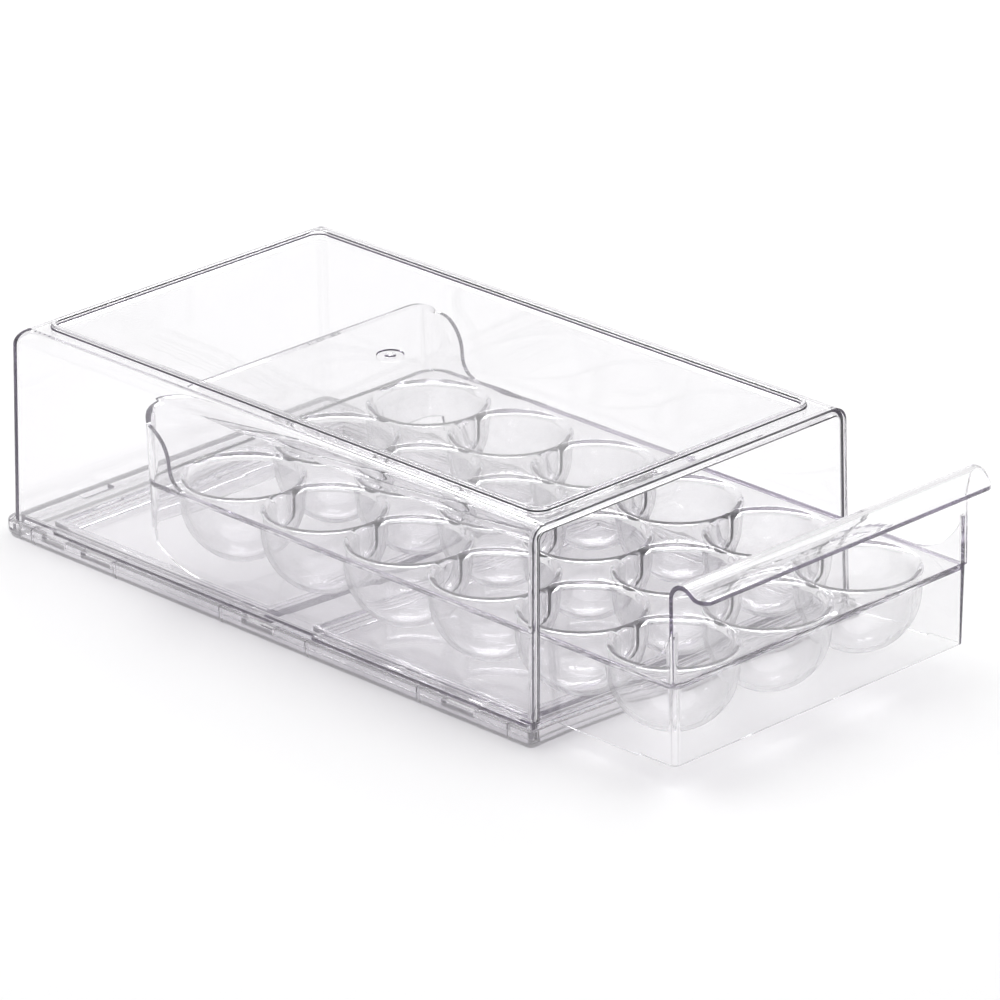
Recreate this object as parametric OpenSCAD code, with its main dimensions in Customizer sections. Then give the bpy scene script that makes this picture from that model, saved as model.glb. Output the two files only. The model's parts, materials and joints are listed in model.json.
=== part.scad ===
// Clear stacking egg keeper: a case, the base tray that snaps under it, and an egg drawer that
// slides out of the open front. All three are clear mouldings. The drawer is drawn as its skirt,
// its front wall with the handle, its back wall, and its deck with the cups, row by row.
// Millimetres, +Z up. The drawer opens towards -Y, and is drawn partly open.
// The origin is on the floor, under the middle of the whole object.

/* [Case] */
// Width of the case over its top
case_w = 176; // [174:0.5:190]
// Depth of the case, front to back
case_d = 307; // [305:0.5:330]
// Height of the case's top face above the floor
case_h = 91.5; // [86:0.5:110]
// Wall thickness of the case
case_wall = 2.4; // [1.8:0.1:3]
// Radius of the case's top edges
case_edge_r = 7; // [4:0.5:9]
// Outward lean of the case's walls, per millimetre of height
case_draft = 0.019; // [0.005:0.001:0.02]
// Width of the bead round the open front
bead_w = 3.6; // [3:0.1:4.5]
// Depth of the bead, front to back
bead_d = 2.6; // [2:0.1:5]

/* [Stacking ridge] */
// Height of the ridge above the case's top
ridge_h = 2.2; // [1:0.1:4]
// Width of the ridge
ridge_w = 2; // [1.5:0.1:3]
// Distance from the case's sides to the ridge
ridge_side_gap = 10.5; // [8:0.5:16]
// Distance from the case's front and back to the ridge
ridge_end_gap = [8, 9.6];

/* [Base tray] */
// How far the tray's edge stands out past the case's width over its top, each side
base_lip = 5; // [3.4:0.1:6]
// How far the tray stands out in front of the case
base_front_lip = 2; // [1:0.1:4]
// Height of the tray's outer edge
base_edge_h = 7.2; // [6.5:0.1:9]
// Height of the border that the drawer runs on
rail_h = 9; // [8.2:0.1:9]
// Width of the rails along both sides, in from the case's inner face
rail_w = 8; // [7:0.5:12]
// Length of each snap window
window_l = 18; // [10:1:24]

/* [Egg drawer] */
// Width of the drawer over its skirt
drawer_w = 166.6; // [162:0.1:167]
// Length of the drawer over its skirt, without the handle
drawer_l = 304.5; // [301:0.5:305]
// How far the drawer is drawn out of the case, over its skirt
drawer_out = 71; // [2:1:200]
// Height of the deck's top face above the floor
deck_z = 45; // [44.5:0.1:46]
// Thickness of the deck
deck_t = 2.4; // [1.8:0.1:3]
// Thickness of the drawer's walls
drawer_wall = 2; // [1.6:0.1:2.4]
// Height of the front wall's top, where the handle curls over, above the floor
handle_z = 88.2; // [84:0.1:88.5]
// Height of the back wall's top above the floor
back_z = 75.3; // [74:0.1:80]

/* [Egg cups] */
// Distance between cup centres across the drawer
pitch_x = 51.8; // [50.5:0.1:52]
// Distance between cup centres along the drawer
pitch_y = 48.8; // [47:0.1:49]
// Inner radius of a cup
cup_r = 23; // [20:0.5:23]
// Radius of the round edge at a cup's mouth
cup_lip_r = 2.5; // [1.5:0.1:2.5]
// Wall thickness of a cup
cup_wall = 2; // [1.5:0.1:2]

/* [Hidden] */
$fn = 48;
skin = 2;            // wall thickness inside the base tray
over = 1;            // how far a cutter runs past what it cuts
tiny = 0.3;          // running clearance between the mouldings

// Base tray
base_w = case_w + 2 * base_lip;
base_d = case_d + base_lip;
foot_h = 2;          // lower tier of the tray's edge
foot_inset = 0.6;
groove_z = 3;        // floor of the groove that holds the case's walls
floor_z = 3.8;       // top of the thin floor
step_z = 6;          // ledge round each bay
step_w = 3;
foot_x = case_w / 2 + case_draft * (case_h - groove_z);    // outer face of the case's walls at their feet
foot_y = case_d + case_draft * (case_h - groove_z);
groove_out_x = foot_x + tiny;
groove_in_x = foot_x - case_wall - tiny;
groove_out_y = foot_y + tiny;
groove_in_y = foot_y - case_wall - tiny;
rail_in_x = groove_in_x - rail_w;
sill_d = 13;         // front sill, front to back
back_rail_y = groove_in_y - 18;
band_y = [131, 160]; // cross band in the middle of the tray
base_r = 7;
base_front_r = 2.5;
slot_size = [17, 4.5];
slot_at = [48, case_d - 5.8];
zone_l = 51;         // length of a snap zone
zone_y = [36.5, 152, 267.5];
slit_w = 0.6;
window_z = [3.6, 6.2];
hook_gap = 0.4;
window_y = [39, 155, 253];
end_window = [279.5, 14];            // place and length of the window behind the last zone

// Case
ridge_r = 7;         // outer corner radius of the ridge
gate_at = [0, 172];
gate_r = 5.8;
gate_depth = 0.5;

// Drawer
front_y = -drawer_out;
rear_y = drawer_l - drawer_out;
skirt_z = rail_h + tiny;
front_skirt_z = skirt_z + 1.2;       // the first stretch of the skirt clears the tray's sill
front_skirt_l = 20.5;
back_skirt_z = 24;
skirt_front_r = 4;
skirt_rear_r = 10;
wall_inset = 0.2;                    // the walls above the deck stand in from the skirt
scoop_r = 30;                        // round dip from the front wall down to the deck
feather = 5;                         // the wings of the walls stop this many degrees short of level
drawer_colour = [0.93, 0.93, 0.97, 0.35];
inner_x = drawer_w / 2 - drawer_wall;
column_edges = [-inner_x, -pitch_x / 2, pitch_x / 2, inner_x];    // the deck is split between the cups
column_gap = 0.05;
rows = 6;
cup_y0 = front_y + 6.2 + cup_r + cup_lip_r;
cup_z = 10 + cup_wall + cup_r;       // centre of a cup's round bottom

// Handle
grip_r = 7;
grip_turn = 46;                      // how far the grip curls over before it flares out again
grip_tip = 1.5;
grip_corner_r = 8;                   // in plan, at both ends of the grip
wall_front_y = front_y + 0.8;
grip_y = wall_front_y + drawer_wall - grip_r;
grip_z = handle_z - grip_r;
flare_y = grip_y - 2 * grip_r * sin(grip_turn);
flare_z = grip_z + 2 * grip_r * cos(grip_turn);
tip_y = flare_y - grip_tip;

// The middle of the object, front to back, is at y = 0
mid_y = (tip_y + base_d) / 2;

// Points along an arc in a plane
function arc(c, r, a0, a1, n = 8) = [for (i = [0:n]) c + r * [cos(a0 + (a1 - a0) * i / n), sin(a0 + (a1 - a0) * i / n)]];

// Outline of a rectangle from x0 to x1 and y0 to y1, with its front and back corners rounded
function round_rect(x0, x1, y0, y1, rf, rb) = concat(
    arc([x1 - rb, y1 - rb], rb, 0, 90),
    arc([x0 + rb, y1 - rb], rb, 90, 180),
    arc([x0 + rf, y0 + rf], rf, 180, 270),
    arc([x1 - rf, y0 + rf], rf, 270, 360));

// Draws a side view (y, z) as a solid from x0 to x1
module along_x(x0, x1) { translate([x0, 0, 0]) rotate([90, 0, 90]) linear_extrude(x1 - x0) children(); }

// Draws a front view (x, z) as a solid from y0 to y1
module along_y(y0, y1) { translate([0, y1, 0]) rotate([90, 0, 0]) linear_extrude(y1 - y0) children(); }

// Plan outline as a solid from z0 to z1
module plan_block(z0, z1, x, y0, y1, rf, rb) {
    translate([0, 0, z0]) linear_extrude(z1 - z0) polygon(round_rect(-x, x, y0, y1, rf, rb));
}

// Front view of the case, set in by t all round, down to z0
module case_front_view(t, z0) {
    r = case_edge_r - t;
    lean = atan(case_draft);
    cx = case_w / 2 - t + case_draft * r - r * sqrt(1 + case_draft * case_draft);
    cz = case_h - t - r;
    foot = case_w / 2 - t + case_draft * (case_h - t - z0);
    polygon(concat([[foot, z0]], arc([cx, cz], r, lean, 90), arc([-cx, cz], r, 90, 180 - lean), [[-foot, z0]]));
}

// Side view of the case, set in by t at the top and back
module case_side_view(t, y0, z0) {
    r = case_edge_r - t;
    lean = atan(case_draft);
    cy = case_d - t + case_draft * r - r * sqrt(1 + case_draft * case_draft);
    cz = case_h - t - r;
    foot = case_d - t + case_draft * (case_h - t - z0);
    polygon(concat([[foot, z0]], arc([cy, cz], r, lean, 90), [[y0, case_h - t], [y0, z0]]));
}

module case_block(t, y0, z0) {
    intersection() {
        along_y(y0, case_d + base_lip) case_front_view(t, z0);
        along_x(-base_w, base_w) case_side_view(t, y0, z0);
    }
}

module stacking_ridge() {
    x = case_w / 2 - ridge_side_gap;
    y0 = ridge_end_gap[0];
    y1 = case_d - ridge_end_gap[1];
    r = ridge_r;
    difference() {
        plan_block(case_h - over, case_h + ridge_h, x, y0, y1, r, r);
        plan_block(case_h - 2 * over, case_h + ridge_h + over, x - ridge_w, y0 + ridge_w, y1 - ridge_w,
                   r - ridge_w, r - ridge_w);
    }
}

// Hooks at the feet of the case's side walls, which click into the tray's windows
module snap_hooks() {
    reach = base_w / 2 - foot_x - hook_gap;
    for (side = [-1, 1], y = window_y)
        translate([side > 0 ? foot_x - over : -foot_x - reach, y - window_l / 2 + hook_gap, window_z[0] + hook_gap])
            cube([reach + over, window_l - 2 * hook_gap, window_z[1] - window_z[0] - 2 * hook_gap]);
}

module case_shell() {
    color([0.90, 0.90, 0.94, 0.35]) translate([0, -mid_y, 0]) {
        difference() {
            union() {
                case_block(0, 0, groove_z);
                stacking_ridge();
            }
            case_block(case_wall, -over, groove_z - over);
            translate([gate_at[0], gate_at[1], case_h - gate_depth]) cylinder(r = gate_r, h = gate_depth + over);
        }
        // bead round the open front
        difference() {
            along_y(0, bead_d) case_front_view(0, rail_h + tiny);
            along_y(-over, bead_d + over) case_front_view(bead_w, rail_h - over);
        }
        snap_hooks();
        translate([gate_at[0], gate_at[1], case_h - 2 * gate_depth]) cylinder(r = gate_r / 2.4, h = 1.8 * gate_depth);
    }
}

// The groove round three sides of the tray that the case's walls stand in
module wall_groove() {
    difference() {
        translate([-groove_out_x, -tiny, groove_z]) cube([2 * groove_out_x, groove_out_y + tiny, rail_h]);
        translate([-groove_in_x, -2 * over, groove_z - over])
            cube([2 * groove_in_x, groove_in_y + 2 * over, rail_h + 2 * over]);
    }
}

// One sunk bay of the tray's floor, between y0 and y1, with a ledge round it
module bay(y0, y1) {
    translate([-rail_in_x, y0, step_z]) cube([2 * rail_in_x, y1 - y0, rail_h]);
    translate([-rail_in_x + step_w, y0 + step_w, floor_z])
        cube([2 * (rail_in_x - step_w), y1 - y0 - 2 * step_w, rail_h]);
}

// Hollow under the tray, open below, up to the height top
module under_hollow(x0, x1, y0, y1, top) {
    translate([x0, y0, -over]) cube([x1 - x0, y1 - y0, top + over]);
}

// Hollows that leave the tray's floor, rails, sill, band and back border as thin skins
module under_hollows() {
    x = groove_in_x - skin;
    y = groove_in_y - skin;
    top = rail_h - skin;
    under_hollow(-x, x, 2 * skin, y, floor_z - skin + tiny);
    for (side = [0, 1]) mirror([side, 0, 0]) under_hollow(rail_in_x + skin, x, 2 * skin, y, top);
    for (ends = [[0, sill_d], band_y, [back_rail_y, groove_in_y]])
        under_hollow(-x, x, ends[0] + skin, ends[1] - skin, top);
}

// Window, and the slits at the ends of the snap zone, through the tray's right edge
module snap_zone(zone, window) {
    edge_window(window, window_l);
    for (end = [-1, 1])
        edge_cutter(zone + end * zone_l / 2, slit_w, -over, base_edge_h + over);
}

module edge_window(y, length) { edge_cutter(y, length, window_z[0], window_z[1]); }

// Cuts through the tray's right edge from z0 to z1, centred on y
module edge_cutter(y, length, z0, z1) {
    x = groove_out_x - tiny;
    translate([x, y - length / 2, z0]) cube([base_w / 2 - x + over, length, z1 - z0]);
}

module base_tray() {
    color([0.86, 0.85, 0.92, 0.4]) translate([0, -mid_y, 0])
        difference() {
            union() {
                plan_block(0, foot_h, base_w / 2 - foot_inset, foot_inset - base_front_lip, base_d - foot_inset,
                           base_front_r, base_r);
                plan_block(foot_h, base_edge_h, base_w / 2, -base_front_lip, base_d, base_front_r, base_r);
                translate([-groove_in_x, skin / 2, groove_z])
                    cube([2 * groove_in_x, groove_in_y - skin / 2, rail_h - groove_z]);
            }
            wall_groove();
            bay(sill_d, band_y[0]);
            bay(band_y[1], back_rail_y);
            under_hollows();
            for (side = [0, 1]) mirror([side, 0, 0]) {
                for (i = [0:2]) snap_zone(zone_y[i], window_y[i]);
                edge_window(end_window[0], end_window[1]);
            }
            // slots in the back border
            for (side = [-1, 1])
                translate([side * slot_at[0] - slot_size[0] / 2, slot_at[1] - slot_size[1] / 2, rail_h - skin - over])
                    cube([slot_size[0], slot_size[1], skin + 2 * over]);
        }
}

// Skirt: a rim, open above and below, cut up at the front and back
module drawer_skirt() {
    x = drawer_w / 2;
    cut_r = 50;
    cut_turn = 35.5;
    cut_y = rear_y - 37.5;
    color(drawer_colour) translate([0, -mid_y, 0]) difference() {
        plan_block(skirt_z, deck_z, x, front_y, rear_y, skirt_front_r, skirt_rear_r);
        inside_skirt(skirt_z - over, deck_z + over);
        translate([-drawer_w, front_y - over, 0]) cube([2 * drawer_w, front_skirt_l + over, front_skirt_z]);
        along_x(-drawer_w, drawer_w)
            polygon(concat([[cut_y, 0]], arc([cut_y, skirt_z + cut_r], cut_r, -90, cut_turn - 90, 6),
                           [[rear_y - 7.5, back_skirt_z], [rear_y + over, back_skirt_z], [rear_y + over, 0]]));
    }
}

// The space inside the skirt, from z0 to z1
module inside_skirt(z0, z1) {
    t = drawer_wall;
    plan_block(z0, z1, inner_x, front_y + t, rear_y - t, skirt_front_r - t, skirt_rear_r - t);
}

// Side view of the front wall's wings, which dip to the deck
module front_wing_view() {
    scoop_y = front_y + 1.5 + scoop_r;
    polygon(concat([[front_y, deck_z - over], [front_y, deck_z + scoop_r]],
                   arc([scoop_y, deck_z + scoop_r], scoop_r, 180, 270 - feather, 10),
                   [[scoop_y - scoop_r * sin(feather), deck_z - over]]));
}

// Side view of the back wall's wings, which rise from the deck in an S
module back_wing_view() {
    dip_r = 9;
    steep = 84;
    crown_r = 15.8;
    dip_y = rear_y - 27;
    dip_end = [dip_y + dip_r * sin(steep), deck_z + dip_r * (1 - cos(steep))];
    crown_start = dip_end + 3 * [cos(steep), sin(steep)];
    crown = crown_start + crown_r * [sin(steep), -cos(steep)];
    polygon(concat([[dip_y + dip_r * sin(feather), deck_z - over]],
                   arc([dip_y, deck_z + dip_r], dip_r, 270 + feather, 270 + steep, 6),
                   arc(crown, crown_r, 90 + steep, 96, 6), [[rear_y, back_z + over], [rear_y + over, deck_z - over]]));
}

// Front view of the back wall: level in the middle, falling away in a quarter ellipse at each side
module back_front_view() {
    fall = [16, 7];
    flat_x = drawer_w / 2 - fall[0];
    side = [for (a = [0:15:75]) [flat_x + fall[0] * sin(a), back_z - fall[1] * (1 - cos(a))]];
    polygon(concat([[drawer_w, deck_z - over], [drawer_w, back_z - fall[1]]], [for (i = [5:-1:0]) side[i]],
                   [for (i = [0:5]) [-side[i][0], side[i][1]]], [[-drawer_w, back_z - fall[1]], [-drawer_w, deck_z - over]]));
}

// The walls that stand on the deck's edge, where the side view drawn by the children lets them
module upper_walls() {
    x = drawer_w / 2 - wall_inset;
    t = drawer_wall;
    rear = rear_y - wall_inset;
    front_r = skirt_front_r - wall_inset;
    intersection() {
        difference() {
            plan_block(deck_z, back_z, x, wall_front_y, rear, front_r, skirt_rear_r - wall_inset);
            plan_block(deck_z - over, back_z + over, x - t, wall_front_y + t, rear - t, front_r - t,
                       skirt_rear_r - wall_inset - t);
        }
        along_x(-drawer_w, drawer_w) children();
    }
}

// Front wall above the deck, whose top curls over forwards and flares out again as the handle
module curled_wall() {
    x = drawer_w / 2 - wall_inset;
    t = drawer_wall;
    turn = grip_turn;
    intersection() {
        along_x(-x, x)
            polygon(concat([[wall_front_y + t, deck_z]],
                           arc([grip_y, grip_z], grip_r, 0, 90 + turn, 10),
                           arc([flare_y, flare_z], grip_r, turn - 90, -90, 5),
                           [[tip_y, flare_z - grip_r], [tip_y, flare_z - grip_r - t]],
                           arc([flare_y, flare_z], grip_r + t, -90, turn - 90, 5),
                           arc([grip_y, grip_z], grip_r - t, 90 + turn, 0, 10),
                           [[wall_front_y, deck_z]]));
        plan_block(0, case_h, x, tip_y, 0, grip_corner_r, 1);
    }
}

// A round bottom with straight sides above it, up to the height top
module cup_form(r, top) {
    translate([0, 0, cup_z]) rotate_extrude() {
        intersection() {
            circle(r);
            translate([0, -r]) square([r, r]);
        }
        square([r, top - cup_z]);
    }
}

// A cup's cavity, with the round edge at its mouth
module cup_cavity() {
    lip = cup_lip_r;
    cup_form(cup_r, deck_z + over);
    rotate_extrude()
        polygon(concat([[0, deck_z - lip]], arc([cup_r + lip, deck_z - lip], lip, 180, 90, 4),
                       [[cup_r + lip, deck_z + over], [0, deck_z + over]]));
}

module at_cup(column, row) {
    translate([(column - 1) * pitch_x, cup_y0 + row * pitch_y, 0]) children();
}

// One cup and its share of the deck. Neighbours along the drawer cut into each other's mouths.
module cup_cell(column, row) {
    x0 = column_edges[column] + column_gap / 2;
    x1 = column_edges[column + 1] - column_gap / 2;
    y0 = row == 0 ? front_y : cup_y0 + (row - 0.5) * pitch_y;
    y1 = row == rows - 1 ? rear_y : cup_y0 + (row + 0.5) * pitch_y;
    near = [max(row - 1, 0):min(row + 1, rows - 1)];
    intersection() {
        translate([x0, y0, 0]) cube([x1 - x0, y1 - y0, case_h]);
        difference() {
            union() {
                inside_skirt(deck_z - deck_t, deck_z);
                for (k = near) at_cup(column, k) cup_form(cup_r + cup_wall, deck_z - deck_t / 2);
            }
            for (k = near) at_cup(column, k) cup_cavity();
        }
    }
}

// The three cups of one row, counted from the front
module cup_row(row) {
    color(drawer_colour) translate([0, -mid_y, 0]) for (column = [0:2]) cup_cell(column, row);
}

module drawer_front() {
    color(drawer_colour) translate([0, -mid_y, 0]) {
        upper_walls() front_wing_view();
        curled_wall();
    }
}

module drawer_back() {
    color(drawer_colour) translate([0, -mid_y, 0]) intersection() {
        upper_walls() back_wing_view();
        along_y(front_y, rear_y) back_front_view();
    }
}

case_shell();
base_tray();
drawer_skirt();
drawer_front();
drawer_back();
cup_row(0);  // cup_row_1
cup_row(1);  // cup_row_2
cup_row(2);  // cup_row_3
cup_row(3);  // cup_row_4
cup_row(4);  // cup_row_5
cup_row(5);  // cup_row_6
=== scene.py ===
"""Looks of the clear egg keeper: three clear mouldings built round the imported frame.

Lengths below are in millimetres. x is across, z is up from the floor, and y runs from the case's front
edge to its back; make_piece() turns them into metres in the row frame.
"""

import json
import math

import bmesh
import bpy
import numpy as np
from mathutils import Matrix, Vector


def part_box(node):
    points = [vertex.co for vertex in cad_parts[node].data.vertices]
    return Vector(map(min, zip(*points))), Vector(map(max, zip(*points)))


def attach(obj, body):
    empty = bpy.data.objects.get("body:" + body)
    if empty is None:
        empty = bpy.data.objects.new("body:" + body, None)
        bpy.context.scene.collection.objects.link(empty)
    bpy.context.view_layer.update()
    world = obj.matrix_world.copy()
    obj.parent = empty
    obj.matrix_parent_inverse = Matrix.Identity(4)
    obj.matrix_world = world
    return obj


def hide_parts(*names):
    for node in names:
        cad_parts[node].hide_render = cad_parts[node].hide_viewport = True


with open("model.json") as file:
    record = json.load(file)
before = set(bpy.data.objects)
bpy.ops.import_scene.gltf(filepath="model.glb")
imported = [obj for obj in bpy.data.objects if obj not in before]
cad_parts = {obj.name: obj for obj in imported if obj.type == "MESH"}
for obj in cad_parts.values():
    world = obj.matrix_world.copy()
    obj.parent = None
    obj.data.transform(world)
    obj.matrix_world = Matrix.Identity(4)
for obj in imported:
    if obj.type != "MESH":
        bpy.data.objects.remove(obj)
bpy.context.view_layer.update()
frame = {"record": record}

MM = 0.001
OVER = 2.0  # how far a cutter runs past what it cuts
TRAY_LOW, TRAY_HIGH = (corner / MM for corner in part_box("base_tray"))
CASE_LOW, CASE_HIGH = (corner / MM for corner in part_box("case_shell"))
SKIRT_LOW, SKIRT_HIGH = (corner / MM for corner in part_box("drawer_skirt"))
FRONT_LOW, FRONT_HIGH = (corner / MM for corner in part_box("drawer_front"))
BACK_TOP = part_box("drawer_back")[1].z / MM
ORIGIN_Y = CASE_LOW.y

# Case
CASE_HALF = 88.0  # half width over the top
CASE_DEPTH = 307.0
CASE_TOP = 91.5
CASE_WALL = 2.4
CASE_DRAFT = 0.019  # outward lean per millimetre of height
CASE_EDGE_R = 7.0
CASE_CORNER_R = 3.0
CASE_FOOT = CASE_LOW.z
BEAD_WIDTH, BEAD_DEPTH = 3.6, 2.6
RIDGE_TOP = CASE_HIGH.z
RIDGE_WIDTH = 2.0
RIDGE_R = 7.0
RIDGE_INSET, RIDGE_FRONT, RIDGE_REAR = 10.5, 8.0, 9.6
GATE_Y, GATE_R, GATE_DEPTH = 172.0, 5.8, 0.5  # the moulding's gate mark, a shallow dish with a nub in it
NUB_R = 2.4
WINDOW_Y, WINDOW_LENGTH, WINDOW_Z = (39.0, 155.0, 253.0), 18.0, (3.6, 6.2)
HOOK_GAP, HOOK_REACH = 0.4, 1.6

# Base tray
TRAY_HALF = TRAY_HIGH.x
TRAY_FRONT = TRAY_LOW.y - ORIGIN_Y
TRAY_DEPTH = TRAY_HIGH.y - ORIGIN_Y
TRAY_EDGE_Z = 7.2
TRAY_FRONT_R, TRAY_REAR_R = 2.5, 7.0
TRAY_SKIN = 2.0
RAIL_Z = TRAY_HIGH.z
GROOVE_Z = 3.0
GROOVE_OUT, GROOVE_IN = 89.98, 86.98
GROOVE_REAR_OUT, GROOVE_REAR_IN = 308.98, 305.98
RAIL_IN = 78.98
SILL, BAND, BACK_RAIL = 13.0, (131.0, 160.0), 287.98
ZONE_Y, ZONE_LENGTH = (36.5, 152.0, 267.5), 51.0
END_WINDOW_Y, END_WINDOW_LENGTH = 279.5, 14.0
SLIT = 0.6
REAR_SLOT_AT, REAR_SLOT_SIZE = (48.0, CASE_DEPTH - 5.8), (17.0, 4.5)

# Drawer
DRAWER_HALF = SKIRT_HIGH.x
DRAWER_FRONT = SKIRT_LOW.y - ORIGIN_Y
DRAWER_REAR = SKIRT_HIGH.y - ORIGIN_Y
DECK_Z, DECK_T = SKIRT_HIGH.z, 2.4
SKIRT_Z = SKIRT_LOW.z
WALL = 2.0
WALL_INSET = 0.2
SKIRT_R, SKIRT_REAR_R = 4.0, 10.0
HANDLE_TOP = FRONT_HIGH.z
CUP_R, CUP_WALL, CUP_LIP = 23.0, 2.0, 2.5
CUP_Z = 35.0  # centre of the round bottoms
PITCH_X, PITCH_Y = 51.8, 48.8
COLUMNS, ROWS = 3, 6
CUP_MARGIN = 6.2  # from the drawer's front to the first cups' lips
CUP_Y0 = DRAWER_FRONT + CUP_MARGIN + CUP_R + CUP_LIP

# Studio
AZIMUTH = math.radians(44.0492)  # the camera stands this far round to the left of the front
ELEVATION = math.radians(22.7007)
ROLL = math.radians(-0.93)
DISTANCE = 2.9667
LENS = 264.34
AIM = Vector((-1.8, 107.18 + ORIGIN_Y, 46.315)) * MM
WINDOW_AT = (0.72, 0.66, 0.3)  # the studio is bright behind the object, on the side far from the camera
FAR_SIDE = (0.91, 0.91, 0.91)
NEAR_SIDE = (0.09, 0.088, 0.095)
FLAG_AT = (-0.95, -0.3, 0.1)  # a grey flag stands at the left
FLAG = (0.3, 0.295, 0.31)


# ---------------------------------------------------------------- mesh tools


def arc(cx, cy, r, start, end, steps):
    """Points on an arc, angles in degrees."""
    angles = np.radians(np.linspace(start, end, steps + 1))
    return [(cx + r * math.cos(a), cy + r * math.sin(a)) for a in angles]


def make_piece(name, vertices, faces):
    """A mesh object from points in millimetres, welded, with its normals facing out."""
    mesh = bpy.data.meshes.new(name)
    mesh.from_pydata([(x * MM, (y + ORIGIN_Y) * MM, z * MM) for x, y, z in vertices], [], faces)
    bm = bmesh.new()
    bm.from_mesh(mesh)
    bmesh.ops.remove_doubles(bm, verts=bm.verts, dist=2e-6)
    bmesh.ops.dissolve_degenerate(bm, edges=bm.edges, dist=1e-6)
    bmesh.ops.recalc_face_normals(bm, faces=bm.faces)
    bm.to_mesh(mesh)
    bm.free()
    piece = bpy.data.objects.new(name, mesh)
    bpy.context.scene.collection.objects.link(piece)
    return piece


def loft(name, rings):
    """A closed solid through rings of equal count, with flat ends."""
    count = len(rings[0])
    vertices = [point for ring in rings for point in ring]
    faces = []
    for k in range(len(rings) - 1):
        for i in range(count):
            j = (i + 1) % count
            faces.append((k * count + i, k * count + j, (k + 1) * count + j, (k + 1) * count + i))
    faces.append(tuple(reversed(range(count))))
    faces.append(tuple(range((len(rings) - 1) * count, len(rings) * count)))
    return make_piece(name, vertices, faces)


def plan_ring(half, y0, y1, r_front, r_rear, steps=6):
    """Outline of a rounded rectangle seen from above."""
    r_front, r_rear = max(r_front, 0.02), max(r_rear, 0.02)
    return (
        arc(half - r_rear, y1 - r_rear, r_rear, 0, 90, steps)
        + arc(-half + r_rear, y1 - r_rear, r_rear, 90, 180, steps)
        + arc(-half + r_front, y0 + r_front, r_front, 180, 270, steps)
        + arc(half - r_front, y0 + r_front, r_front, 270, 360, steps)
    )


def block(half, y0, y1, r_front, r_rear, profile, x=0.0):
    """A block with a rounded plan outline, through (inset, z) pairs from its bottom to its top."""
    rings = []
    for inset, z in profile:
        ring = plan_ring(half - inset, y0 + inset, y1 - inset, r_front - inset, r_rear - inset)
        rings.append([(px + x, py, z) for px, py in ring])
    return loft("block", rings)


def rounded(z0, z1, r0, r1, lean=0.0, steps=4):
    """Upright profile with its bottom and top edges rounded; lean is how far the bottom stands in."""
    bottom = [(r0 - x + lean, z0 + r0 - z) for x, z in arc(0, 0, r0, 90, 0, steps)] if r0 else [(lean, z0)]
    top = [(r1 - x, z1 - r1 + z) for x, z in arc(0, 0, r1, 0, 90, steps)] if r1 else [(0.0, z1)]
    return bottom + top


def mouth(z0, z1, r0, r1, steps=4):
    """Profile of a cutter whose bottom edge is rounded and whose mouth flares out at z1."""
    bottom = [(r0 - x, z0 + r0 - z) for x, z in arc(0, 0, r0, 90, 0, steps)] if r0 else [(0.0, z0)]
    flare = [(x - r1, z1 - r1 + z) for x, z in arc(0, 0, r1, 0, 90, steps)]
    return bottom + flare + [(-r1, z1 + OVER)]


def prism_x(outline, x0, x1):
    """A side view (y, z) drawn out from x0 to x1."""
    return loft("prism", [[(x, y, z) for y, z in outline] for x in (x0, x1)])


def prism_y(outline, y0, y1):
    """A front view (x, z) drawn out from y0 to y1."""
    return loft("prism", [[(x, y, z) for x, z in outline] for y in (y0, y1)])


def apply_modifiers(piece):
    """Turns the piece's modifiers into its mesh."""
    graph = bpy.context.evaluated_depsgraph_get()
    made = bpy.data.meshes.new_from_object(piece.evaluated_get(graph))
    piece.modifiers.clear()
    old = piece.data
    piece.data = made
    bpy.data.meshes.remove(old)


def combine(piece, other, operation):
    """Unites, cuts or intersects piece with other, which is used up."""
    modifier = piece.modifiers.new("combine", "BOOLEAN")
    modifier.operation = operation
    modifier.solver = "MANIFOLD"
    modifier.object = other
    bpy.context.view_layer.update()
    apply_modifiers(piece)
    mesh = other.data
    bpy.data.objects.remove(other)
    bpy.data.meshes.remove(mesh)
    return piece


def add(piece, *others):
    for other in others:
        combine(piece, other, "UNION")
    return piece


def cut(piece, *others):
    for other in others:
        combine(piece, other, "DIFFERENCE")
    return piece


def keep(piece, *others):
    for other in others:
        combine(piece, other, "INTERSECT")
    return piece


def bevel(piece, width, steps=2, angle=50):
    """Rounds the sharp edges of a piece."""
    modifier = piece.modifiers.new("bevel", "BEVEL")
    modifier.width = width * MM
    modifier.segments = steps
    modifier.limit_method = "ANGLE"
    modifier.angle_limit = math.radians(angle)
    modifier.use_clamp_overlap = True
    apply_modifiers(piece)
    return piece


def finish_mesh(piece, angle=35):
    """Tidies a finished moulding and gives its flat faces true normals."""
    mesh = piece.data
    bm = bmesh.new()
    bm.from_mesh(mesh)
    bmesh.ops.remove_doubles(bm, verts=bm.verts, dist=3e-6)
    bmesh.ops.dissolve_degenerate(bm, edges=bm.edges, dist=2e-6)
    for face in bm.faces:
        face.smooth = True
    bm.to_mesh(mesh)
    bm.free()
    mesh.set_sharp_from_angle(angle=math.radians(angle))
    modifier = piece.modifiers.new("weighted", "WEIGHTED_NORMAL")
    modifier.keep_sharp = True
    modifier.weight = 60
    apply_modifiers(piece)


# ---------------------------------------------------------------- case


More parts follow.
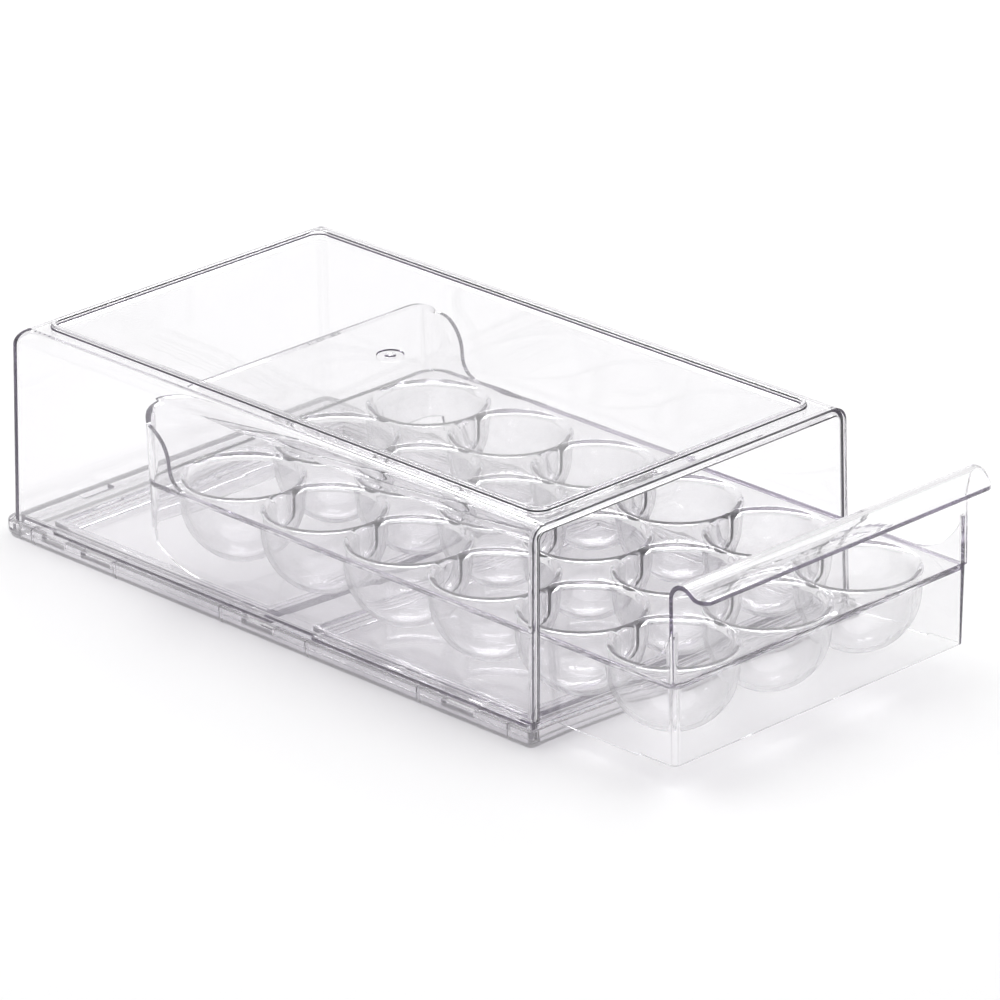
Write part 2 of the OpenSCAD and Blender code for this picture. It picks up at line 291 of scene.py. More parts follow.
def case_path(inset_top, inset_side, radius, step_in=0.0):
    """The case's front view from the left foot, over the top, to the right foot."""
    cz = CASE_TOP - CASE_EDGE_R
    half = CASE_HALF + CASE_DRAFT * CASE_EDGE_R

    def side(z):
        return CASE_HALF + CASE_DRAFT * (CASE_TOP - z) - inset_side

    step_z = RAIL_Z + 0.3
    right = [(side(CASE_FOOT), CASE_FOOT), (side(step_z), step_z), (side(step_z) - step_in, step_z)]
    reach_x = half - inset_side - step_in - (CASE_HALF - CASE_EDGE_R)
    reach_z = CASE_EDGE_R - inset_top - step_in
    squareness = min(reach_x, reach_z, radius)
    cx = CASE_HALF - CASE_EDGE_R + reach_x - squareness
    for a in np.radians(np.linspace(0, 90, 9)):
        x = cx + squareness * math.cos(a)
        z = cz + reach_z - squareness + squareness * math.sin(a)
        right.append((x, z))
    left = [(-x, z) for x, z in right]
    return left + right[::-1]


def case_shell():
    """The open-fronted cover: walls, round edges, the bead round its front and the ridge on its top."""
    wall, edge, corner = CASE_WALL, CASE_EDGE_R, CASE_CORNER_R

    def at(path, y, leaning):
        return [(x, y + (CASE_DRAFT * (CASE_TOP - z) if leaning else 0.0), z) for x, z in path]

    outer, inner = [], []
    bead_in = BEAD_WIDTH - wall
    # front: rounded outer edge, flat face, rounded inner edge, then the bead's back eases into the wall
    front_r, inner_r = 0.9, 0.5
    stations = [(math.sin(a), 1 - math.cos(a)) for a in np.radians(np.linspace(90, 0, 5))]
    for s, c in stations:
        inset = front_r * s
        outer.append(at(case_path(inset, inset, edge - inset), front_r * c, False))
        inset = wall - inner_r * s
        inner.append(at(case_path(inset, inset, edge - inset, bead_in), inner_r * c, False))
    ease = 1.2
    for a in np.radians(np.linspace(0, 90, 5)):
        y = BEAD_DEPTH + ease * math.sin(a)
        step_in = bead_in * math.cos(a) ** 2
        outer.append(at(case_path(0, 0, edge), y, False))
        inner.append(at(case_path(wall, wall, edge - wall, step_in), y, False))
    # back: the top's round edge and the two upright corners close the cover
    inner_corner = 1.4
    for a in np.radians(np.linspace(0, 90, 10)):
        s, c = math.sin(a), math.cos(a)
        back = CASE_DEPTH - edge + edge * s
        depth = CASE_DEPTH - back
        side = corner - math.sqrt(corner**2 - max(corner - depth, 0) ** 2)
        outer.append(at(case_path(edge * (1 - c), side, edge), back, True))
        r = edge - wall
        back = CASE_DEPTH - wall - r + r * s
        depth = CASE_DEPTH - wall - back
        side = inner_corner - math.sqrt(inner_corner**2 - max(inner_corner - depth, 0) ** 2)
        inner.append(at(case_path(wall + r * (1 - c), wall + side, r), back, True))

    count, rows = len(outer[0]), len(outer)
    vertices = [p for ring in outer for p in ring] + [p for ring in inner for p in ring]

    def outside(k, i):
        return k * count + i

    def inside(k, i):
        return rows * count + k * count + i

    faces = []
    for k in range(rows - 1):
        for i in range(count - 1):
            for skin in (outside, inside):
                faces.append((skin(k, i), skin(k, i + 1), skin(k + 1, i + 1), skin(k + 1, i)))
        for i in (0, count - 1):
            faces.append((outside(k, i), outside(k + 1, i), inside(k + 1, i), inside(k, i)))
    for i in range(count - 1):
        faces.append((outside(0, i), outside(0, i + 1), inside(0, i + 1), inside(0, i)))
    last = rows - 1
    for skin in (outside, inside):
        faces.append(tuple(skin(last, i) for i in range(count)))
    faces.append((outside(last, 0), outside(last, count - 1), inside(last, count - 1), inside(last, 0)))
    shell = make_piece("case_shell_clear", vertices, faces)

    add(shell, stacking_ridge())
    dish = CASE_TOP - GATE_DEPTH
    cut(shell, lathe([(0, dish), (GATE_R - 0.4, dish), (GATE_R, CASE_TOP), (GATE_R, CASE_TOP + OVER),
                      (0, CASE_TOP + OVER)], 0, GATE_Y))
    nub_top = CASE_TOP - 0.1
    add(shell, lathe([(0, CASE_TOP - 1.2), (NUB_R, CASE_TOP - 1.2), (NUB_R, nub_top - 0.25),
                      (NUB_R - 0.4, nub_top), (0, nub_top)], 0, GATE_Y))
    for y in WINDOW_Y:
        for side in (-1, 1):
            foot = CASE_HALF + CASE_DRAFT * CASE_TOP
            half_length = WINDOW_LENGTH / 2 - HOOK_GAP
            add(shell, block(HOOK_REACH, y - half_length, y + half_length, 0.3, 0.3,
                             rounded(WINDOW_Z[0] + HOOK_GAP, WINDOW_Z[1] - HOOK_GAP, 0.3, 0.3),
                             x=side * (foot - 0.3)))
    return shell


def stacking_ridge():
    """The rounded-rectangle ridge, with softened edges along its top and small coves at its foot."""
    half, y0, y1, r = CASE_HALF - RIDGE_INSET, RIDGE_FRONT, CASE_DEPTH - RIDGE_REAR, RIDGE_R
    top, foot = RIDGE_TOP, CASE_TOP
    crest, cove = 0.5, 0.4
    outside = [(-cove, foot - 0.6)]
    outside += [(x - cove, foot + z) for x, z in [(cove - cove * math.cos(a), cove - cove * math.sin(a))
                for a in np.radians(np.linspace(90, 0, 4))]]
    outside += [(crest - x, top - crest + z) for x, z in arc(0, 0, crest, 0, 90, 5)]
    profile = outside + [(RIDGE_WIDTH - inset, z) for inset, z in reversed(outside)]
    rings = []
    for inset, z in profile:
        ring = plan_ring(half - inset, y0 + inset, y1 - inset, r - inset, r - inset, 10)
        rings.append([(x, y, z) for x, y in ring])
    count = len(rings[0])
    faces = []
    for k in range(len(rings)):
        m = (k + 1) % len(rings)
        for i in range(count):
            j = (i + 1) % count
            faces.append((k * count + i, k * count + j, m * count + j, m * count + i))
    return make_piece("ridge", [p for ring in rings for p in ring], faces)


def lathe(profile, x, y, steps=48):
    """A solid of revolution from (radius, z) pairs that start and end on the axis."""
    rings = []
    angles = np.linspace(0, math.tau, steps + 1)[:-1]
    for r, z in profile:
        r = max(r, 1e-4)
        rings.append([(x + r * math.cos(a), y + r * math.sin(a), z) for a in angles])
    return loft("lathe", rings)


# ---------------------------------------------------------------- base tray


def edge_cut(tray, side, y, length, z):
    """Cuts through one side's edge of the tray, over length at y, between the two heights in z."""
    near, far = GROOVE_OUT - 0.3, TRAY_HALF + 1
    cut(tray, block((far - near) / 2, y - length / 2, y + length / 2, 0.1, 0.1, [(0, z[0]), (0, z[1])],
                    x=side * (near + far) / 2))


def base_tray():
    """The tray under the case: stepped edge, groove, rails, bays and hollow underside."""
    inset = 0.6
    tray = block(TRAY_HALF - inset, TRAY_FRONT + inset, TRAY_DEPTH - inset, TRAY_FRONT_R, TRAY_REAR_R,
                 rounded(0.0, 2.6, 0.5, 0.0))
    add(tray, block(TRAY_HALF, TRAY_FRONT, TRAY_DEPTH, TRAY_FRONT_R, TRAY_REAR_R,
                    rounded(2.0, TRAY_EDGE_Z, 0.4, 0.7)))
    groove = block(GROOVE_OUT, -0.3, GROOVE_REAR_OUT, 0.1, 3.2, mouth(GROOVE_Z, TRAY_EDGE_Z, 0.3, 0.4))
    cut(tray, groove)
    add(tray, block(GROOVE_IN, 1.0, GROOVE_REAR_IN, 0.8, 2.0, rounded(GROOVE_Z - 0.4, RAIL_Z, 0.0, 0.7)))
    for y0, y1 in ((SILL, BAND[0]), (BAND[1], BACK_RAIL)):
        cut(tray, block(RAIL_IN, y0, y1, 1.5, 1.5, mouth(6.0, RAIL_Z, 0.6, 0.6)))
        cut(tray, block(RAIL_IN - 3.0, y0 + 3.0, y1 - 3.0, 1.2, 1.2, mouth(3.8, 6.0, 0.6, 0.4)))
    skin = TRAY_SKIN
    half, rear = GROOVE_IN - skin, GROOVE_REAR_IN - skin
    low_roof, high_roof = 2.1, RAIL_Z - skin
    hollows = [(-half, half, 2 * skin, rear, low_roof)]
    for side in (-1, 1):
        hollows.append((min(side * (RAIL_IN + skin), side * half), max(side * (RAIL_IN + skin), side * half),
                        2 * skin, rear, high_roof))
    for y0, y1 in ((skin, SILL), BAND, (BACK_RAIL, GROOVE_REAR_IN)):
        hollows.append((-half, half, y0 + skin, y1 - skin, high_roof))
    r = 0.6
    for x0, x1, y0, y1, z in hollows:
        roof = [(r - r * math.cos(a), z - r + r * math.sin(a)) for a in np.radians((30, 60, 90))]
        cut(tray, block((x1 - x0) / 2, y0, y1, 0.8, 0.8, [(-0.02, -OVER), (0.0, z - r)] + roof,
                        x=(x0 + x1) / 2))
    for side in (-1, 1):
        for y in WINDOW_Y:
            edge_cut(tray, side, y, WINDOW_LENGTH, WINDOW_Z)
        for zone in ZONE_Y:
            for end in (-1, 1):
                edge_cut(tray, side, zone + end * ZONE_LENGTH / 2, SLIT, (-1, RAIL_Z))
        edge_cut(tray, side, END_WINDOW_Y, END_WINDOW_LENGTH, WINDOW_Z)
        slot_x, slot_y = REAR_SLOT_AT
        length, depth = REAR_SLOT_SIZE
        cut(tray, block(length / 2, slot_y - depth / 2, slot_y + depth / 2, 1.0, 1.0, [(0, 5), (0, 12)],
                        x=side * slot_x))
    tray.name = "base_tray_clear"
    return tray


# ---------------------------------------------------------------- drawer


def lip_drop(distance):
    """How far a cup's round lip lies below the deck's top face, at that distance from the cup's axis."""
    inside = min(max(CUP_R + CUP_LIP - distance, 0.0), CUP_LIP)
    return CUP_LIP - math.sqrt(CUP_LIP**2 - inside**2)


def cell_rays(x0, x1, y0, y1):
    """Directions from a cup's axis, with one through each corner of its cell and each crease between cups."""
    base = [math.tau * k / 64 for k in range(64)]
    corners = [math.atan2(y, x) % math.tau for x in (x0, x1) for y in (y0, y1)]
    outer_r = CUP_R + CUP_WALL
    crease_x = math.sqrt(outer_r**2 - (PITCH_Y / 2) ** 2)
    crease_y = PITCH_Y / 2
    creases = [math.atan2(y, x) % math.tau for x in (-crease_x, crease_x) for y in (-crease_y, crease_y)]
    special = corners + creases
    near = 0.012
    base = [a for a in base if all(abs((a - s + math.pi) % math.tau - math.pi) > near for s in special)]
    return sorted(base + special)


def cup_field():
    """The deck with its eighteen cups as one closed plate; neighbours along the drawer share a saddle."""
    outer_r = CUP_R + CUP_WALL
    reach = CUP_R + CUP_LIP
    underside = DECK_Z - DECK_T
    fillet = 1.5
    edge_x = DRAWER_HALF - 1.0
    edge_y = (DRAWER_FRONT + 1.0, DRAWER_REAR - 1.0)
    vertices, faces = [], []

    def vertex(x, y, z):
        vertices.append((x, y, z))
        return len(vertices) - 1

    for column in range(COLUMNS):
        for row in range(ROWS):
            cx, cy = (column - 1) * PITCH_X, CUP_Y0 + row * PITCH_Y
            x0 = -edge_x - cx if column == 0 else -PITCH_X / 2
            x1 = edge_x - cx if column == COLUMNS - 1 else PITCH_X / 2
            y0 = edge_y[0] - cy if row == 0 else -PITCH_Y / 2
            y1 = edge_y[1] - cy if row == ROWS - 1 else PITCH_Y / 2
            others = [(cup - row) * PITCH_Y for cup in (row - 1, row + 1) if 0 <= cup < ROWS]
            tops, bottoms = [], []
            for angle in cell_rays(x0, x1, y0, y1):
                c, s = math.cos(angle), math.sin(angle)
                limit_x = (x1 if c > 0 else x0) / c if abs(c) > 1e-9 else math.inf
                limit_y = (y1 if s > 0 else y0) / s if abs(s) > 1e-9 else math.inf
                limit = min(limit_x, limit_y)

                def top_at(r):
                    drops = [lip_drop(r)] + [lip_drop(math.hypot(r * c, r * s - dy)) for dy in others]
                    return DECK_Z - math.sqrt(sum(drop**2 for drop in drops))

                ray = []
                for a in np.radians(np.linspace(0, 90, 12)[1:]):
                    ray.append((CUP_R * math.sin(a), CUP_Z - CUP_R * math.cos(a)))
                ray.append((CUP_R, DECK_Z - CUP_LIP))
                last_turn = 90.0
                if limit < reach:
                    last_turn = math.degrees(math.acos((reach - limit) / CUP_LIP))
                for a in np.radians(np.linspace(0, last_turn, 8)[1:]):
                    r = reach - CUP_LIP * math.cos(a)
                    ray.append((r, top_at(r)))
                for share in (0.25, 1.0):
                    r = max(min(reach, limit), reach + (limit - reach) * share) if limit > reach else limit
                    ray.append((r, top_at(r)))
                tops.append([(vertex(cx + r * c, cy + r * s, z), r > limit - 1e-7) for r, z in ray])

                ray = []
                turn = 90.0 if limit >= outer_r - 1e-9 else math.degrees(math.asin(limit / outer_r))
                for a in np.radians(np.linspace(0, turn, 12)[1:]):
                    ray.append((outer_r * math.sin(a), CUP_Z - outer_r * math.cos(a)))
                if turn < 90.0:
                    ray += [ray[-1]] * 6
                else:
                    ray.append((outer_r, underside - fillet))
                    for a in np.radians(np.linspace(0, 90, 4)[1:]):
                        r = outer_r + fillet * (1 - math.cos(a))
                        z = underside - fillet + fillet * math.sin(a)
                        if r > limit:
                            r = limit
                            z = underside - fillet + math.sqrt(
                                max(fillet**2 - (outer_r + fillet - limit) ** 2, 0.0))
                        ray.append((r, z))
                    ray.append((limit, ray[-1][1]))
                    ray.append((limit, ray[-1][1]))
                bottoms.append([(vertex(cx + r * c, cy + r * s, z), r > limit - 1e-7) for r, z in ray])
            top_pole = vertex(cx, cy, CUP_Z - CUP_R)
            bottom_pole = vertex(cx, cy, CUP_Z - outer_r)
            count = len(tops)
            for i in range(count):
                j = (i + 1) % count
                for rays, pole in ((tops, top_pole), (bottoms, bottom_pole)):
                    faces.append((pole, rays[i][0][0], rays[j][0][0]))
                    for k in range(len(rays[i]) - 1):
                        corners = (rays[i][k], rays[i][k + 1], rays[j][k + 1], rays[j][k])
                        if not all(at_limit for _, at_limit in corners):
                            faces.append(tuple(index for index, _ in corners))
                ends = [rays[m][-1][0] for rays, m in ((tops, i), (tops, j), (bottoms, j), (bottoms, i))]
                if on_same_rim(vertices[ends[0]], vertices[ends[1]], edge_x, edge_y):
                    faces.append(tuple(ends))
    return make_piece("cup_field", vertices, faces)


def on_same_rim(a, b, edge_x, edge_y):
    """True if both points lie on the same outer edge of the plate."""
    near = 1e-4
    if abs(a[0] - b[0]) < near and abs(abs(a[0]) - edge_x) < near:
        return True
    return abs(a[1] - b[1]) < near and min(abs(a[1] - y) for y in edge_y) < near


def skirt():
    """The rim under the deck's edge, which leans in a little towards its foot."""
    lean, thin, thick = 1.1, 1.7, 2.9
    rim = block(DRAWER_HALF, DRAWER_FRONT, DRAWER_REAR, SKIRT_R, SKIRT_REAR_R,
                rounded(SKIRT_Z, DECK_Z, 0.4, 0.7, lean))
    inner = [(thin + lean, SKIRT_Z - OVER), (thin + lean * 0.97, SKIRT_Z + 0.2), (thick, DECK_Z + OVER)]
    cut(rim, block(DRAWER_HALF, DRAWER_FRONT, DRAWER_REAR, SKIRT_R, SKIRT_REAR_R, inner))
    wide = DRAWER_HALF + OVER
    step_y = DRAWER_FRONT + 20.5
    step = [(DRAWER_FRONT - OVER, 0), (step_y + 1.2, 0), (step_y + 1.2, SKIRT_Z), (step_y, SKIRT_Z + 1.2),
            (DRAWER_FRONT - OVER, SKIRT_Z + 1.2)]
    cut(rim, prism_x(step, -wide, wide))
    sweep_y, sweep_r, back_foot = DRAWER_REAR - 37.5, 50.0, 24.0
    sweep = [(sweep_y, 0)] + arc(sweep_y, SKIRT_Z + sweep_r, sweep_r, -90, -54.5, 8)
    sweep += [(DRAWER_REAR - 7.5, back_foot), (DRAWER_REAR + OVER, back_foot), (DRAWER_REAR + OVER, 0)]
    cut(rim, prism_x(sweep, -wide, wide))
    return rim


def wall_ring(z0, z1, lean):
    """The upright wall round the deck's edge, before it is cut to its side views."""
    half, y0, y1 = DRAWER_HALF - WALL_INSET, DRAWER_FRONT + 0.8, DRAWER_REAR - WALL_INSET
    r_front, r_rear = SKIRT_R - WALL_INSET, SKIRT_REAR_R - WALL_INSET
    outer = [(0.0, z0), (0.0, DECK_Z), (-lean, z1)]
    inner = [(WALL, z0 - OVER), (WALL, DECK_Z), (WALL - lean, z1 + 0.1)]
    ring = block(half, y0, y1, r_front, r_rear, outer)
    return cut(ring, block(half, y0, y1, r_front, r_rear, inner))


def back_wall():
    """The back wall and its wings, which rise from the deck in an S."""
    sunk = DECK_Z - 0.6
    dip_r, steep, crown_r = 9.0, 84.0, 15.8
    dip_y = DRAWER_REAR - 27.0
    s, c = math.sin(math.radians(steep)), math.cos(math.radians(steep))
    dip_end = (dip_y + dip_r * s, DECK_Z + dip_r * (1 - c))
    crown_start = (dip_end[0] + 3 * c, dip_end[1] + 3 * s)
    crown = (crown_start[0] + crown_r * s, crown_start[1] - crown_r * c)
    view = [(dip_y + 1.2, sunk - OVER)] + arc(dip_y, DECK_Z + dip_r, dip_r, 276, 270 + steep, 10)
    view += arc(crown[0], crown[1], crown_r, 90 + steep, 96, 10)
    view += [(DRAWER_REAR, BACK_TOP + 1), (DRAWER_REAR + 5, BACK_TOP + 1), (DRAWER_REAR + 5, sunk - OVER)]
    wall = wall_ring(sunk, BACK_TOP + 1, 0.8)
    wide = DRAWER_HALF + 10
    keep(wall, prism_x(view, -wide, wide))
    flat, fall_x, fall_z = DRAWER_HALF - 16.0, 16.0, 7.0
    right = [(flat + fall_x * math.sin(a), BACK_TOP - fall_z * (1 - math.cos(a)))
             for a in np.radians(np.linspace(0, 82, 10))]
    top = [(wide, sunk - OVER), (wide, right[-1][1])] + right[::-1]
    top += [(-x, z) for x, z in right] + [(-wide, right[-1][1]), (-wide, sunk - OVER)]
    keep(wall, prism_y(top, DRAWER_FRONT - 20, DRAWER_REAR + 20))
    return bevel(wall, 0.55)


def front_wings():
    """The front wall's wings, which dip to the deck beside the first cups."""
    sunk = DECK_Z - 0.6
    r = 30.0
    cy = DRAWER_FRONT + 1.5 + r
    view = [(DRAWER_FRONT - 1, sunk - OVER), (DRAWER_FRONT - 1, DECK_Z + r)]
    view += arc(cy, DECK_Z + r, r, 180, 264, 12) + [(cy - 2.4, sunk - OVER)]
    wings = wall_ring(sunk, DECK_Z + r, 0.0)
    keep(wings, prism_x(view, -DRAWER_HALF, DRAWER_HALF))
    return bevel(wings, 0.5)


def handle_wall():
    """The front wall, whose top curls over forwards and flares out again as the handle."""
    grip_r, turn, tip = 7.0, 46.0, 1.5
    thin_t, taper = 0.82, 9.0  # the half thickness at the tip, and how far back it begins to thin
    half_t = WALL / 2
    mid_y = DRAWER_FRONT + 0.8 + half_t
    centre = (DRAWER_FRONT + 0.8 + WALL - grip_r, HANDLE_TOP - grip_r)
    s, c = math.sin(math.radians(turn)), math.cos(math.radians(turn))
    flare = (centre[0] - 2 * grip_r * s, centre[1] + 2 * grip_r * c)
    line = [(mid_y, DECK_Z - 0.6), (mid_y, centre[1] - 8.0)]
    line += arc(centre[0], centre[1], grip_r - half_t, 0, 90 + turn, 16)
    line += arc(flare[0], flare[1], grip_r + half_t, turn - 90, -90, 8)[1:]
    line += [(flare[0] - tip + 0.8, flare[1] - grip_r - half_t)]
    points = np.array(line)
    tangents = np.gradient(points, axis=0)
    tangents /= np.linalg.norm(tangents, axis=1)[:, None]
    normals = np.stack([tangents[:, 1], -tangents[:, 0]], 1)
    steps = np.concatenate([[0], np.cumsum(np.linalg.norm(np.diff(points, axis=0), axis=1))])
    left = steps[-1] - steps
    half_width = np.where(left < taper, thin_t + (half_t - thin_t) * left / taper, half_t)
    inside = points - normals * half_width[:, None]
    outside = points + normals * half_width[:, None]
    end = points[-1]
    cap = [tuple(end + tangents[-1] * thin_t * math.cos(a) + normals[-1] * thin_t * math.sin(a))
           for a in np.radians(np.linspace(60, -60, 5))]
    outline = [tuple(p) for p in outside] + cap + [tuple(p) for p in inside[::-1]]
    half = DRAWER_HALF - WALL_INSET
    wall = prism_x(outline, -half, half)
    tip_y = FRONT_LOW.y - ORIGIN_Y
    keep(wall, block(half, tip_y, DRAWER_FRONT + 10, 8.0, 0.1, [(0, 0), (0, CASE_TOP + 5)]))
    return bevel(wall, 0.5)


def egg_drawer():
    """The whole drawer moulding."""
    drawer = skirt()
    field = cup_field()
    inside = block(DRAWER_HALF, DRAWER_FRONT, DRAWER_REAR, SKIRT_R, SKIRT_REAR_R,
                   [(1.0, 0.0), (1.0, DECK_Z + OVER)])
    keep(field, inside)
    add(drawer, field, back_wall(), front_wings(), handle_wall())
    drawer.name = "egg_drawer_clear"
    return drawer


# ---------------------------------------------------------------- materials


def clear_plastic(name, tint, density, rough, rough_spread, ripple, ripple_scale, milk=0.0):
    """Clear moulded plastic: a violet-grey body colour by thickness, faint flow ripples and hazy patches.

    tint is what white light turns to through 1/density metres or so of it. milk is how white the cups
    turn where they are seen edge-on.
    """
    material = bpy.data.materials.new(name)
    material.use_nodes = True
    nodes, links = material.node_tree.nodes, material.node_tree.links
    nodes.clear()

    def node(kind, **values):
        made = nodes.new(kind)
        for key, value in values.items():
            made.inputs[key.replace("_", " ")].default_value = value
        return made

    output = node("ShaderNodeOutputMaterial")
    plastic = node("ShaderNodeBsdfPrincipled", Base_Color=(0.99, 0.99, 0.99, 1), Roughness=rough, IOR=1.57,
                   Transmission_Weight=1.0)
    position = node("ShaderNodeTexCoord")
    haze = node("ShaderNodeTexNoise", Scale=38.0, Detail=4.0, Roughness=0.6)
    spread = node("ShaderNodeMapRange", From_Min=0.35, From_Max=0.7, To_Min=rough,
                  To_Max=rough + rough_spread)
    flow = node("ShaderNodeTexNoise", Scale=ripple_scale, Detail=2.0, Distortion=0.6)
    bump = node("ShaderNodeBump", Strength=ripple, Distance=0.0006)
    links.new(position.outputs["Object"], haze.inputs["Vector"])
    links.new(haze.outputs["Fac"], spread.inputs["Value"])
    links.new(spread.outputs["Result"], plastic.inputs["Roughness"])
    links.new(position.outputs["Object"], flow.inputs["Vector"])
    links.new(flow.outputs["Fac"], bump.inputs["Height"])
    links.new(bump.outputs["Normal"], plastic.inputs["Normal"])
    surface = plastic
    if milk:
        white = node("ShaderNodeBsdfDiffuse", Color=(0.93, 0.93, 0.94, 1))
        part = nodes.new("ShaderNodeSeparateXYZ")
        links.new(position.outputs["Object"], part.inputs[0])
        low = node("ShaderNodeMapRange", From_Min=(DECK_Z - 1.0) * MM, From_Max=(DECK_Z - 5.0) * MM)
        links.new(part.outputs["Z"], low.inputs["Value"])
        across = nodes.new("ShaderNodeMath")
        across.operation = "ABSOLUTE"
        links.new(part.outputs["X"], across.inputs[0])
        inside = node("ShaderNodeMapRange", From_Min=(DRAWER_HALF - 3.2) * MM,
                      From_Max=(DRAWER_HALF - 4.2) * MM)
        links.new(across.outputs[0], inside.inputs["Value"])
        edge_on = node("ShaderNodeLayerWeight", Blend=0.35)
        product = low.outputs["Result"]
        for factor in (inside.outputs["Result"], edge_on.outputs["Facing"], milk):
            times = nodes.new("ShaderNodeMath")
            times.operation = "MULTIPLY"
            links.new(product, times.inputs[0])
            if isinstance(factor, float):
                times.inputs[1].default_value = factor
            else:
                links.new(factor, times.inputs[1])
            product = times.outputs[0]
        surface = nodes.new("ShaderNodeMixShader")
        links.new(product, surface.inputs[0])
        links.new(plastic.outputs[0], surface.inputs[1])
        links.new(white.outputs[0], surface.inputs[2])
    through = node("ShaderNodeBsdfTransparent", Color=(0.932, 0.93, 0.933, 1))
    path = node("ShaderNodeLightPath")
    mix = node("ShaderNodeMixShader")
    links.new(path.outputs["Is Shadow Ray"], mix.inputs[0])
    links.new(surface.outputs[0], mix.inputs[1])
    links.new(through.outputs[0], mix.inputs[2])
    links.new(mix.outputs[0], output.inputs["Surface"])
    absorption = node("ShaderNodeVolumeAbsorption", Color=(*tint, 1), Density=density)
    links.new(absorption.outputs[0], output.inputs["Volume"])
    return material


def floor_material():
    """Matt white paper."""
    material = bpy.data.materials.new("paper_floor")
    material.use_nodes = True
    nodes, links = material.node_tree.nodes, material.node_tree.links
    paper = nodes["Principled BSDF"]
    paper.inputs["Roughness"].default_value = 0.9
    paper.inputs["Specular IOR Level"].default_value = 0.2
    noise = nodes.new("ShaderNodeTexNoise")
    noise.inputs["Scale"].default_value = 3.0
    ramp = nodes.new("ShaderNodeMapRange")
    ramp.inputs["To Min"].default_value = 0.9
    ramp.inputs["To Max"].default_value = 0.92
    links.new(noise.outputs["Fac"], ramp.inputs["Value"])
    links.new(ramp.outputs["Result"], paper.inputs["Base Color"])
    return material


# ---------------------------------------------------------------- stage


def studio():
    """A white floor, a bright far side, a dark side behind the camera, a grey flag and two softboxes."""
    mesh = bpy.data.meshes.new("floor")
    size = 6.0
    corners = [(-size, -size, 0), (size, -size, 0), (size, size, 0), (-size, size, 0)]
    mesh.from_pydata(corners, [], [(0, 1, 2, 3)])
    floor = bpy.data.objects.new("floor", mesh)
    bpy.context.scene.collection.objects.link(floor)
    mesh.materials.append(floor_material())

    world = bpy.data.worlds.new("studio")
    bpy.context.scene.world = world
    world.use_nodes = True
    nodes, links = world.node_tree.nodes, world.node_tree.links
    background = nodes["Background"]
    where = nodes.new("ShaderNodeTexCoord")

    def gradient(towards, start, end, low, high):
        """Colour low where the direction's dot product with towards is under start, high over end."""
        dot = nodes.new("ShaderNodeVectorMath")
        dot.operation = "DOT_PRODUCT"
        dot.inputs[1].default_value = Vector(towards).normalized()
        blend = nodes.new("ShaderNodeMapRange")
        blend.inputs["From Min"].default_value = start
        blend.inputs["From Max"].default_value = end
        ramp = nodes.new("ShaderNodeValToRGB")
        ramp.color_ramp.elements[0].color = (*low, 1)
        ramp.color_ramp.elements[1].color = (*high, 1)
        links.new(where.outputs["Generated"], dot.inputs[0])
        links.new(dot.outputs["Value"], blend.inputs["Value"])
        links.new(blend.outputs["Result"], ramp.inputs["Fac"])
        return ramp.outputs["Color"]

    sides = gradient(WINDOW_AT, -0.35, 0.05, NEAR_SIDE, FAR_SIDE)
    flag = gradient(FLAG_AT, 0.4, 0.75, (1, 1, 1), FLAG)
    both = nodes.new("ShaderNodeMix")
    both.data_type = "RGBA"
    both.blend_type = "MULTIPLY"
    both.inputs["Factor"].default_value = 1.0
    links.new(sides, both.inputs["A"])
    links.new(flag, both.inputs["B"])
    links.new(both.outputs["Result"], background.inputs["Color"])
    background.inputs["Strength"].default_value = 1.0

    softbox("overhead", (0.15, 0.2, 1.9), (0.05, 0.05, 0), (2.4, 2.0), 21)
    softbox("key", (0.95, 1.0, 1.1), (0, 0, 0.05), (0.5, 0.35), 6)


def softbox(name, place, aim, size, power):
    """A rectangular soft light at place, facing aim."""
    light = bpy.data.lights.new(name, "AREA")
    light.shape = "RECTANGLE"
    light.size, light.size_y = size
    light.energy = power
    lamp = bpy.data.objects.new(name, light)
    bpy.context.scene.collection.objects.link(lamp)
    lamp.location = place
    lamp.rotation_euler = (Vector(aim) - Vector(place)).to_track_quat("-Z", "Y").to_euler()


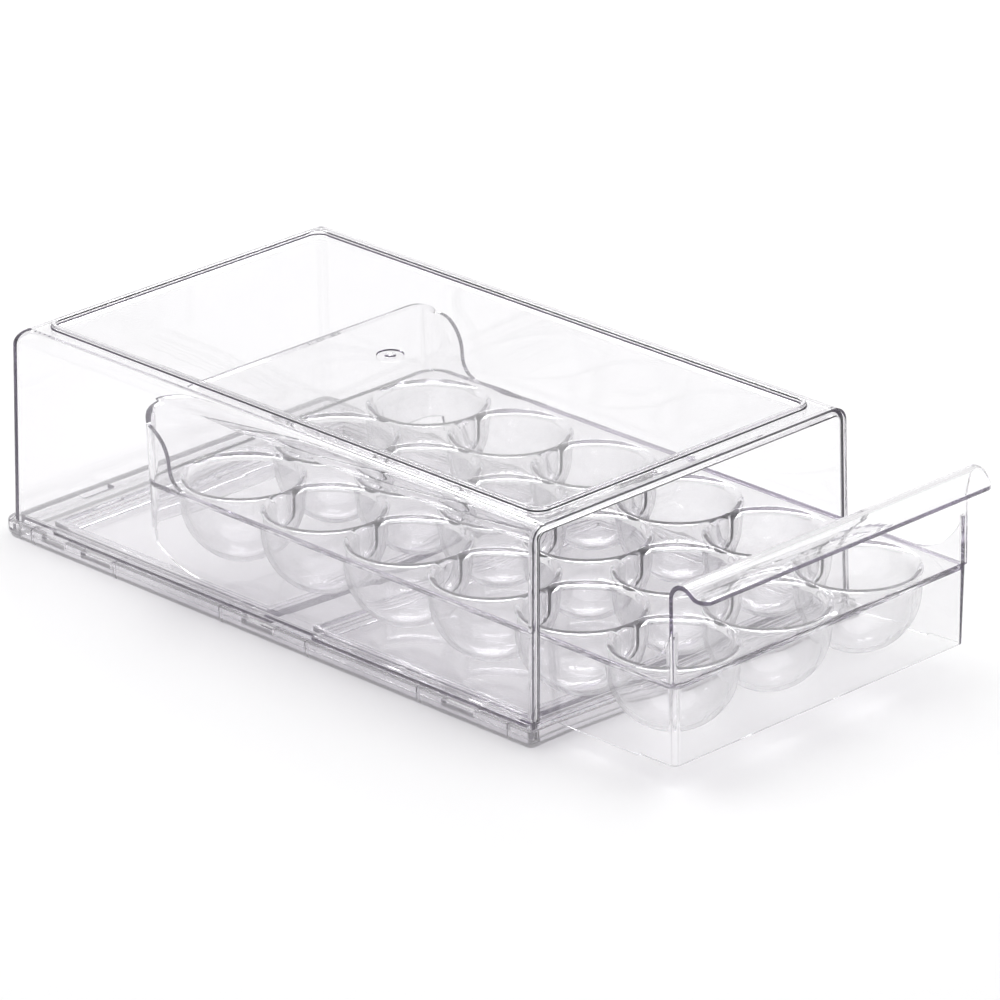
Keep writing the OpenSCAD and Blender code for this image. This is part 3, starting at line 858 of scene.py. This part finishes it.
def camera():
    """A long lens that looks down on the left front corner."""
    data = bpy.data.cameras.new("camera")
    data.lens = LENS
    data.sensor_width = 36.0
    data.clip_end = 50
    eye = bpy.data.objects.new("camera", data)
    bpy.context.scene.collection.objects.link(eye)
    c, s = math.cos(ELEVATION), math.sin(ELEVATION)
    back = Vector((-math.sin(AZIMUTH) * c, -math.cos(AZIMUTH) * c, s))
    right = Vector((math.cos(AZIMUTH), -math.sin(AZIMUTH), 0))
    up = back.cross(right)
    x_axis = right * math.cos(ROLL) + up * math.sin(ROLL)
    y_axis = up * math.cos(ROLL) - right * math.sin(ROLL)
    turned = Matrix((x_axis, y_axis, back)).transposed().to_4x4()
    eye.matrix_world = Matrix.Translation(AIM + back * DISTANCE) @ turned
    bpy.context.scene.camera = eye


# ---------------------------------------------------------------- build


def dress(piece, body, material, nodes):
    piece.data.materials.clear()
    piece.data.materials.append(material)
    finish_mesh(piece)
    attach(piece, body)
    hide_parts(*nodes)


camera()
studio()
case_plastic = clear_plastic("case_plastic", tint=(0.81, 0.785, 0.835), density=56.0, rough=0.0,
                             rough_spread=0.02, ripple=0.12, ripple_scale=14.0)
base_plastic = clear_plastic("base_plastic", tint=(0.79, 0.772, 0.81), density=64.0, rough=0.01,
                             rough_spread=0.03, ripple=0.12, ripple_scale=16.0)
drawer_plastic = clear_plastic("drawer_plastic", tint=(0.80, 0.775, 0.83), density=42.0, rough=0.0,
                               rough_spread=0.03, ripple=0.12, ripple_scale=18.0, milk=0.38)
dress(case_shell(), "housing", case_plastic, ["case_shell"])
dress(base_tray(), "housing", base_plastic, ["base_tray"])
drawer_nodes = frame["record"]["behaviour"]["bodies"]["drawer"]
dress(egg_drawer(), "drawer", drawer_plastic, drawer_nodes)

scene = bpy.context.scene
scene.view_settings.view_transform = "Standard"
scene.cycles.max_bounces = 96
scene.cycles.transmission_bounces = 64
scene.cycles.transparent_max_bounces = 40
scene.cycles.glossy_bounces = 64
scene.cycles.diffuse_bounces = 3
scene.cycles.caustics_refractive = True
scene.cycles.caustics_reflective = False
